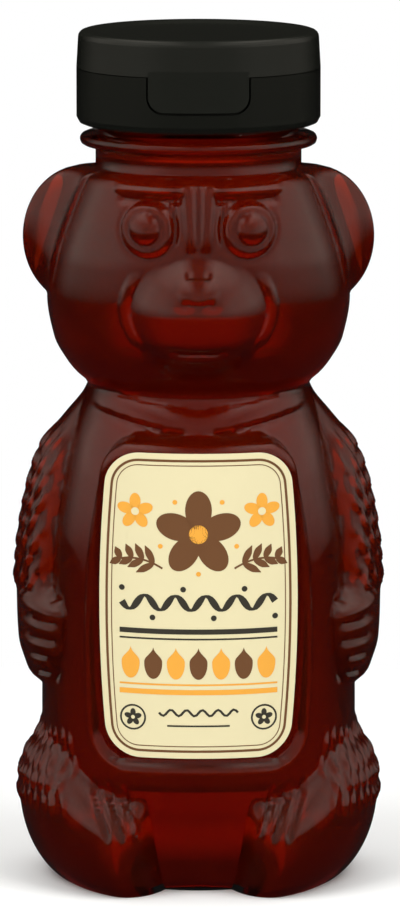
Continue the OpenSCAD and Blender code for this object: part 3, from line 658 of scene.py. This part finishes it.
class HONEYBEAR_OT_label(Piece, bpy.types.Operator):
    """Sticks the cream label on its panel and prints it with plain blossoms, leaves and drops"""
    bl_idname = "honey_bear.label"
    bl_label = "Label"

    def build(self, size, tint):
        H = LABEL_H / 2
        v = H * np.sin(np.linspace(-np.pi / 2, np.pi / 2, 90))
        s = np.linspace(-1, 1, 61)
        U = label_half(v)[:, None] * s[None, :]
        V = np.broadcast_to(v[:, None], U.shape)
        front, back = on_label(U, V, 0), on_label(U, V, -LABEL_T)
        m, n = U.shape
        edge = np.concatenate([np.arange(n - 1), np.arange(m - 1) * n + n - 1, np.arange(n - 1, 0, -1) + (m - 1) * n,
                               np.arange(m - 1, 0, -1) * n])
        nxt = np.roll(edge, -1)
        rim = np.stack([edge, edge + m * n, nxt + m * n, nxt], 1)
        verts = np.vstack([front.reshape(-1, 3), back.reshape(-1, 3)])
        quads = np.vstack([sheet_faces(m, n), sheet_faces(m, n, start=m * n)[:, ::-1], rim])
        flat = np.stack([U / LABEL_W + 0.5, V / LABEL_H + 0.5], -1).reshape(-1, 2)
        obj = make("printed_label", verts, quads, uv=np.vstack([flat, flat]), sharp=40)
        # Label film, printed and varnished: cream, smooth, with a satin face and a 0.5 mm paper grain
        dress(obj, material("varnished_label_film", {"Base Color": rgba(tint.label), "Roughness": 0.42,
                                                     "IOR": 1.5, "Specular IOR Level": 0.4}, grain=(0.5, 0.004)))
        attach(obj, "bottle")
        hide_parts("front_label")
        self.ink(size, tint)

    def ink(self, size, tint):
        lift = size.ink / MM
        brown, dark, orange = Print(lift), Print(lift), Print(lift)
        over = Print(lift * 1.7)
        # Two fine lines along the edge
        for inset, width in ((1.25, 0.42), (2.1, 0.16)):
            v = (LABEL_H / 2 - inset) * np.sin(np.linspace(-np.pi / 2, np.pi / 2, 120))
            right = np.stack([label_half(v, inset), v], 1)
            path = np.vstack([right, (right * [-1, 1])[::-1], right[:1]])
            brown.line(path, width)
        # A five-petalled blossom with a small one on each side
        def blossom(at, r, ink, heart):
            for k in range(5):
                a = math.radians(90 + 72 * k)
                ink.shape((at[0] + 0.56 * r * math.cos(a), at[1] + 0.56 * r * math.sin(a)),
                          oval(0.46 * r, 0.31 * r, 90 + 72 * k))
            heart.shape(at, oval(0.22 * r, 0.22 * r))
        blossom((0, 12.6), 7.4, brown, orange)
        for k in range(10):
            a = math.radians(36 * k + 18)
            if k % 2:
                orange.shape((6.9 * math.cos(a), 12.6 + 6.9 * math.sin(a)), oval(0.42, 0.42, n=16))
        for sx in (-1, 1):
            blossom((sx * 10.9, 16.4), 3.1, orange, over)
            # A leafy sprig beside the blossom
            s = np.linspace(0, 1, 24)
            stem = np.stack([sx * (6.2 + 7.4 * s), 6.6 + 4.6 * s - 3.2 * s * s], 1)
            brown.line(stem, 0.34)
            for k, q in enumerate((0.2, 0.45, 0.7, 0.97)):
                x, y = sx * (6.2 + 7.4 * q), 6.6 + 4.6 * q - 3.2 * q * q
                for up in (1, -1):
                    turn = math.radians(18 + up * 46)
                    d = np.array([sx * math.cos(turn), math.sin(turn)])
                    long = 1.75 - 0.22 * k
                    brown.shape((x + d[0] * long, y + d[1] * long),
                                oval(long, 0.62, math.degrees(math.atan2(d[1], d[0])), 0.6, 24))
        # A dark scroll, a band of drops and their rules
        x = np.linspace(-13.2, 13.2, 160)
        dark.line(np.stack([x, 0.6 + 1.25 * np.sin(x * 1.19)], 1), 0.35 + 0.85 * np.abs(np.cos(x * 1.19)))
        for k in range(6):
            dark.shape((-13.2 + 5.28 * k, 0.6 - 2.6 if k % 2 else 0.6 + 2.4), oval(0.5, 0.5, n=16))
        for y, w in ((-4.4, 0.9), (-5.7, 0.3)):
            dark.line([[-13.6, y], [13.6, y]], w)
        for k in range(7):
            at = (-11.7 + 3.9 * k, -10.0)
            ink = orange if k % 2 == 0 else brown
            ink.shape(at, oval(2.75, 1.55, 90, 0.9))
        for y, w in ((-13.7, 0.3), (-15.0, 0.9)):
            orange.line([[-13.6, y], [13.6, y]], w)
        # Small marks at the foot: two rings with a blossom each, and a fine wave between them
        f = np.linspace(0, 2 * np.pi, 60)
        for sx in (-1, 1):
            at = np.array([sx * 11.3, -19.6])
            dark.line(at + 2.1 * np.stack([np.cos(f), np.sin(f)], 1), 0.32)
            blossom(tuple(at), 1.5, dark, over)
        x = np.linspace(-6.8, 6.8, 90)
        dark.line(np.stack([x, -18.6 + 0.55 * np.sin(x * 2.31)], 1), 0.42)
        dark.line([[-5.4, -20.9], [5.4, -20.9]], 0.3)
        for name, ink, c in (("label_brown", brown, tint.brown), ("label_dark", dark, tint.dark),
                             ("label_orange", orange, tint.orange), ("label_hearts", over, tint.label)):
            # Offset ink: a thin flat film under the label's varnish
            obj = ink.object(name, material(f"{name}_ink", {"Base Color": rgba(c), "Roughness": 0.45, "IOR": 1.5,
                                                            "Specular IOR Level": 0.35}))
            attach(obj, "bottle")


class HONEYBEAR_OT_closure(Piece, bpy.types.Operator):
    """Finishes the closure: satin polypropylene, its thread, the liner and the foil seal"""
    bl_idname = "honey_bear.closure"
    bl_label = "Closure"

    def build(self, size, tint):
        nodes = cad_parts
        # Injection-moulded polypropylene with a fine spark-eroded texture: satin, with soft wide
        # highlights; the grain is drawn at 0.35 mm so that it shows
        body = material("satin_polypropylene", {"Base Color": rgba(tint.closure), "Roughness": 0.25, "IOR": 1.49},
                        grain=(0.35, 0.004))
        lid = material("satin_polypropylene_lid", {"Base Color": rgba(tint.lid), "Roughness": 0.24, "IOR": 1.49},
                       grain=(0.35, 0.004))
        dress(nodes["closure_body"], body)
        dress(nodes["lid"], lid)
        # Foamed polyethylene liner: matt white, with cells of about 0.6 mm
        dress(nodes["closure_liner"], material("foamed_polyethylene", {
            "Base Color": rgba(tint.liner), "Roughness": 0.75, "IOR": 1.5}, grain=(0.6, 0.03)))
        # Induction seal: rolled aluminium foil, bright and slightly crinkled every 4 mm
        dress(nodes["foil_seal"], material("rolled_aluminium_foil", {
            "Base Color": rgba(tint.foil), "Metallic": 1.0, "Roughness": 0.24}, grain=(4, 0.04)))
        verts, quads = band(0, SKIRT_R, SKIRT_R - 1.15, 132.9 + PITCH / 2, 1.0, 1.6, 0.8)
        thread = dress(make("closure_thread", verts, quads, sharp=40), body)
        outward(thread)
        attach(thread, "closure")


class HONEYBEAR_OT_hinge(Piece, bpy.types.Operator):
    """Makes the thin web at the back on which the lid folds"""
    bl_idname = "honey_bear.hinge"
    bl_label = "Living Hinge"

    def build(self, size, tint):
        # A strip of the closure's cylinder: angles over the width, heights over the two lands
        half = math.degrees(math.asin(HINGE_W / 2 / CAP_R))
        a = np.linspace(180 + half, 180 - half, 19)
        z = np.linspace(PART_Z - HINGE_LAND, LID_Z + HINGE_LAND, 25)
        thin = 0.12 * bulge((z - (PART_Z + LID_Z) / 2) / 0.9)
        outer = rings_at(np.broadcast_to((CAP_R + HINGE_T - thin)[:, None], (25, 19)), a, z[:, None])
        inner = rings_at(np.full((25, 19), CAP_R - 0.02), a, z[:, None])
        m, n = 25, 19
        edge = np.concatenate([np.arange(n - 1), np.arange(m - 1) * n + n - 1, np.arange(n - 1, 0, -1) + (m - 1) * n,
                               np.arange(m - 1, 0, -1) * n])
        nxt = np.roll(edge, -1)
        quads = np.vstack([sheet_faces(m, n), sheet_faces(m, n, start=m * n)[:, ::-1],
                           np.stack([edge, edge + m * n, nxt + m * n, nxt], 1)])
        obj = make("hinge_web", np.vstack([outer.reshape(-1, 3), inner.reshape(-1, 3)]), quads, sharp=40)
        outward(obj)
        # The same polypropylene, polished by folding
        dress(obj, material("folded_polypropylene", {"Base Color": rgba(tint.closure), "Roughness": 0.28,
                                                     "IOR": 1.49}, grain=(0.5, 0.004)))
        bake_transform(obj)
        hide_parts("living_hinge")


class HONEYBEAR_OT_stage(Piece, bpy.types.Operator):
    """Sets the pale floor, the soft studio light and the camera"""
    bl_idname = "honey_bear.stage"
    bl_label = "Stage"

    def build(self, size, tint):
        scene = bpy.context.scene
        scene.view_settings.view_transform = "Standard"
        self.floor(tint)
        self.world()
        # A softbox on each side in front, as the two highlights on the head show, and one overhead
        # that reaches the back
        for side in (-1, 1):
            name = "left_softbox" if side < 0 else "right_softbox"
            self.lamp(name, (side * 0.42, -0.4, 0.52), size.softbox, 0.66, 3.2)
        self.lamp("top_softbox", (0, 0.02, 0.8), 1.3, 1.1, 6.6)
        middle = Vector((0.00026, AXIS_Y * MM, 0.0738))
        lens = bpy.data.cameras.new("photo_camera")
        eye = bpy.data.objects.new("photo_camera", lens)
        scene.collection.objects.link(eye)
        away, up = 1.25, math.radians(9)
        eye.location = middle + Vector((0, -away * math.cos(up), away * math.sin(up)))
        eye.rotation_euler = (middle - eye.location).to_track_quat("-Z", "Y").to_euler()
        # 913 rows of 0.175 mm over the height of the 36 mm sensor
        lens.sensor_fit = "VERTICAL"
        lens.sensor_height = 36
        lens.lens = 36 * away / (913 * 0.175 * MM)
        lens.clip_start = 0.05
        scene.camera = eye

    def floor(self, tint):
        """A flat sheet, wide enough for every side from which the bottle is looked at."""
        P = np.stack([np.linspace(-900, 1100, 21), np.zeros(21)], 1)
        x = np.linspace(-900, 900, 13)
        X, I = np.meshgrid(x, np.arange(len(P)))
        verts = np.stack([X, P[I, 0], P[I, 1]], -1).reshape(-1, 3)
        obj = make("pale_floor", verts, sheet_faces(len(P), len(x)))
        mat = bpy.data.materials.new("painted_board")
        mat.use_nodes = True
        tree = mat.node_tree
        tree.nodes.clear()
        seen = add(tree, "ShaderNodeLightPath")
        # White grows from 0.06 m to 0.24 m away from the bottle, so its shadow stays on the floor
        place = add(tree, "ShaderNodeTexCoord").outputs["Object"]
        far = add(tree, "ShaderNodeVectorMath", {0: place}, operation="LENGTH")
        grow = add(tree, "ShaderNodeMapRange", {"Value": far.outputs["Value"], "From Min": 0.05, "From Max": 0.2})
        direct = add(tree, "ShaderNodeMath", {0: seen.outputs["Is Camera Ray"], 1: grow.outputs[0]},
                     operation="MULTIPLY")
        # Through the clear pieces the floor is a painted glow: painted light straight behind the bottle, less of it
        # farther off and beside
        at = add(tree, "ShaderNodeSeparateXYZ", {0: place})
        aside = add(tree, "ShaderNodeMath", {0: at.outputs[0]}, operation="ABSOLUTE")
        depth = add(tree, "ShaderNodeMath", {0: at.outputs[1], 1: 0.03}, operation="ADD")
        slant = add(tree, "ShaderNodeMath", {0: aside.outputs[0], 1: depth.outputs[0]}, operation="DIVIDE")
        near = add(tree, "ShaderNodeMapRange", {"Value": slant.outputs[0], "From Min": 0.3, "From Max": 0.8,
                                                "To Min": 1.0, "To Max": 0.1})
        # Painted shadow: no glow nearer than 0.03 m behind the bottle, the whole glow from 0.08 m
        painted_shadow_mask = add(tree, "ShaderNodeMapRange", {"Value": at.outputs[1], "From Min": 0.03, "From Max": 0.08})
        fade = add(tree, "ShaderNodeMapRange", {"Value": at.outputs[1], "From Min": 0.1, "From Max": 0.3,
                                                "To Min": 0.5, "To Max": 0.2})
        close = add(tree, "ShaderNodeMath", {0: near.outputs[0], 1: fade.outputs[0]}, operation="MULTIPLY")
        painted_glow_strength = add(tree, "ShaderNodeMath", {0: close.outputs[0], 1: painted_shadow_mask.outputs[0]}, operation="MULTIPLY")
        # The painted glow, an emission that only rays through the clear pieces see
        behind = add(tree, "ShaderNodeEmission", {"Color": (1, 1, 1, 1), "Strength": painted_glow_strength.outputs[0]})
        paint = add(tree, "ShaderNodeBsdfDiffuse", {"Color": rgba(tint.floor)})
        white = add(tree, "ShaderNodeEmission", {"Color": (1, 1, 1, 1), "Strength": 1.0})
        plain = add(tree, "ShaderNodeMixShader", {0: direct.outputs[0], 1: paint.outputs[0], 2: white.outputs[0]})
        both = add(tree, "ShaderNodeMixShader", {0: seen.outputs["Is Transmission Ray"], 1: plain.outputs[0],
                                                 2: behind.outputs[0]})
        # Painted dark reflection: for the gloss the pale floor is a near-black sheet, so what faces down reflects
        # next to nothing
        table = add(tree, "ShaderNodeEmission", {"Color": (1, 1, 1, 1), "Strength": 0.015})
        whole = add(tree, "ShaderNodeMixShader", {0: mirrored(tree, seen), 1: both.outputs[0],
                                                  2: table.outputs[0]})
        add(tree, "ShaderNodeOutputMaterial", {"Surface": whole.outputs[0]})
        dress(obj, mat)

    def world(self):
        """White for the camera and through clear pieces, and a grey room with a dark lower half else."""
        world = bpy.data.worlds.new("studio")
        bpy.context.scene.world = world
        world.use_nodes = True
        tree = world.node_tree
        tree.nodes.clear()
        seen = add(tree, "ShaderNodeLightPath")
        way = add(tree, "ShaderNodeSeparateXYZ", {0: add(tree, "ShaderNodeTexCoord").outputs["Generated"]})
        behind = add(tree, "ShaderNodeMapRange", {"Value": way.outputs[1], "From Min": 0.55, "From Max": 0.85,
                                                  "To Min": 0.05, "To Max": 0.2})
        # A bright strip low behind the bottle, which its foot shows through the honey
        straight = add(tree, "ShaderNodeMapRange", {"Value": way.outputs[1], "From Min": 0.85, "From Max": 0.97})
        low = add(tree, "ShaderNodeMapRange", {"Value": way.outputs[2], "From Min": 0.1, "From Max": 0.22,
                                               "To Min": 1.0, "To Max": 0.0})
        strip = add(tree, "ShaderNodeMath", {0: straight.outputs[0], 1: low.outputs[0]}, operation="MULTIPLY")
        glow = add(tree, "ShaderNodeMath", {0: behind.outputs[0], 1: strip.outputs[0]}, operation="MAXIMUM")
        # The light that reaches the pollen through the wall, from above and in front: z - 0.35 y
        lean = add(tree, "ShaderNodeMath", {0: way.outputs[1], 1: -0.35, 2: way.outputs[2]},
                   operation="MULTIPLY_ADD")
        upper = add(tree, "ShaderNodeMapRange", {"Value": lean.outputs[0], "From Min": 0.2, "From Max": 0.8,
                                                 "To Min": 0.0, "To Max": 2.2})
        inner = add(tree, "ShaderNodeMath", {0: glow.outputs[0], 1: upper.outputs[0]}, operation="MAXIMUM")
        through = add(tree, "ShaderNodeMath", {0: seen.outputs["Is Transmission Ray"], 1: inner.outputs[0]},
                      operation="MULTIPLY")
        white = add(tree, "ShaderNodeMath", {0: seen.outputs["Is Camera Ray"], 1: through.outputs[0]},
                    operation="MAXIMUM")
        room = add(tree, "ShaderNodeMapRange", {"Value": way.outputs[2], "From Min": -0.08, "From Max": 0.12,
                                                "To Min": 0.03, "To Max": 0.2})
        # What the gloss shows: a bright tent from the table's edge up
        tent = add(tree, "ShaderNodeMapRange", {"Value": way.outputs[2], "From Min": -0.1, "From Max": 0.14,
                                                "To Min": 0.02, "To Max": 0.5})
        # Brighter panels on the left and right, a darker middle, and the brightest part overhead
        aside = add(tree, "ShaderNodeMath", {0: way.outputs[0]}, operation="ABSOLUTE")
        panels = add(tree, "ShaderNodeMapRange", {"Value": aside.outputs[0], "From Min": 0.5, "From Max": 0.88,
                                                  "To Min": 0.55, "To Max": 1.3})
        over = add(tree, "ShaderNodeMapRange", {"Value": way.outputs[2], "From Min": 0.6, "From Max": 0.95,
                                                "To Min": 0.0, "To Max": 1.6})
        wing = add(tree, "ShaderNodeMapRange", {"Value": aside.outputs[0], "From Min": 0.1, "From Max": 0.35,
                                                "To Min": -0.2, "To Max": 1.0})
        above = add(tree, "ShaderNodeMath", {0: over.outputs[0], 1: wing.outputs[0]}, operation="MULTIPLY")
        sides = add(tree, "ShaderNodeMath", {0: panels.outputs[0], 1: above.outputs[0]}, operation="ADD")
        # Nothing bright stands behind the bottle, so its edges stay dark
        rear = add(tree, "ShaderNodeMapRange", {"Value": way.outputs[1], "From Min": 0.4, "From Max": 0.8,
                                                "To Min": 1.0, "To Max": 0.04})
        front = add(tree, "ShaderNodeMath", {0: sides.outputs[0], 1: rear.outputs[0]}, operation="MULTIPLY")
        gloss = add(tree, "ShaderNodeMath", {0: tent.outputs[0], 1: front.outputs[0]}, operation="MULTIPLY")
        both = add(tree, "ShaderNodeMix", {0: mirrored(tree, seen), 2: room.outputs[0], 3: gloss.outputs[0]})
        light = add(tree, "ShaderNodeMath", {0: both.outputs[0], 1: white.outputs[0]}, operation="MAXIMUM")
        # The tent is of warm cloth
        warm = add(tree, "ShaderNodeMix", {0: mirrored(tree, seen), 6: (1, 1, 1, 1), 7: (1, 0.93, 0.82, 1)},
                   data_type="RGBA")
        back = add(tree, "ShaderNodeBackground", {"Color": warm.outputs[2], "Strength": light.outputs[0]})
        add(tree, "ShaderNodeOutputWorld", {"Surface": back.outputs[0]})

    def lamp(self, name, at, wide, high, power):
        """A soft rectangular lamp, aimed at the bottle's middle."""
        data = bpy.data.lights.new(name, "AREA")
        data.shape, data.size, data.size_y, data.energy = "RECTANGLE", wide, high, power
        obj = bpy.data.objects.new(name, data)
        bpy.context.scene.collection.objects.link(obj)
        # The world's tent stands for the lamps in what the gloss and the honey show
        obj.visible_glossy = obj.visible_transmission = False
        obj.location = at
        obj.rotation_euler = (Vector((0, 0, 0.08)) - Vector(at)).to_track_quat("-Z", "Y").to_euler()


OPERATORS = (HONEYBEAR_OT_skin, HONEYBEAR_OT_honey, HONEYBEAR_OT_label, HONEYBEAR_OT_closure,
             HONEYBEAR_OT_hinge, HONEYBEAR_OT_stage)


class HONEYBEAR_PT_sidebar(bpy.types.Panel):
    bl_label = "Honey Bear"
    bl_idname = "HONEYBEAR_PT_sidebar"
    bl_space_type = "VIEW_3D"
    bl_region_type = "UI"
    bl_category = "Honey Bear"

    def draw(self, context):
        for group in (context.scene.honey_bear_sizes, context.scene.honey_bear_colours):
            column = self.layout.column(align=True)
            for name in group.__annotations__:
                column.prop(group, name)
        for piece in OPERATORS:
            self.layout.operator(piece.bl_idname)


CLASSES = (HoneyBearSizes, HoneyBearColours, *OPERATORS, HONEYBEAR_PT_sidebar)


def register():
    for c in CLASSES:
        bpy.utils.register_class(c)
    bpy.types.Scene.honey_bear_sizes = PointerProperty(type=HoneyBearSizes)
    bpy.types.Scene.honey_bear_colours = PointerProperty(type=HoneyBearColours)


def unregister():
    del bpy.types.Scene.honey_bear_colours
    del bpy.types.Scene.honey_bear_sizes
    for c in reversed(CLASSES):
        bpy.utils.unregister_class(c)


def main():
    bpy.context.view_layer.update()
    register()
    bpy.ops.honey_bear.skin()
    bpy.ops.honey_bear.honey()
    bpy.ops.honey_bear.label()
    bpy.ops.honey_bear.closure()
    bpy.ops.honey_bear.hinge()
    bpy.ops.honey_bear.stage()


if __name__ == "__main__":
    main()
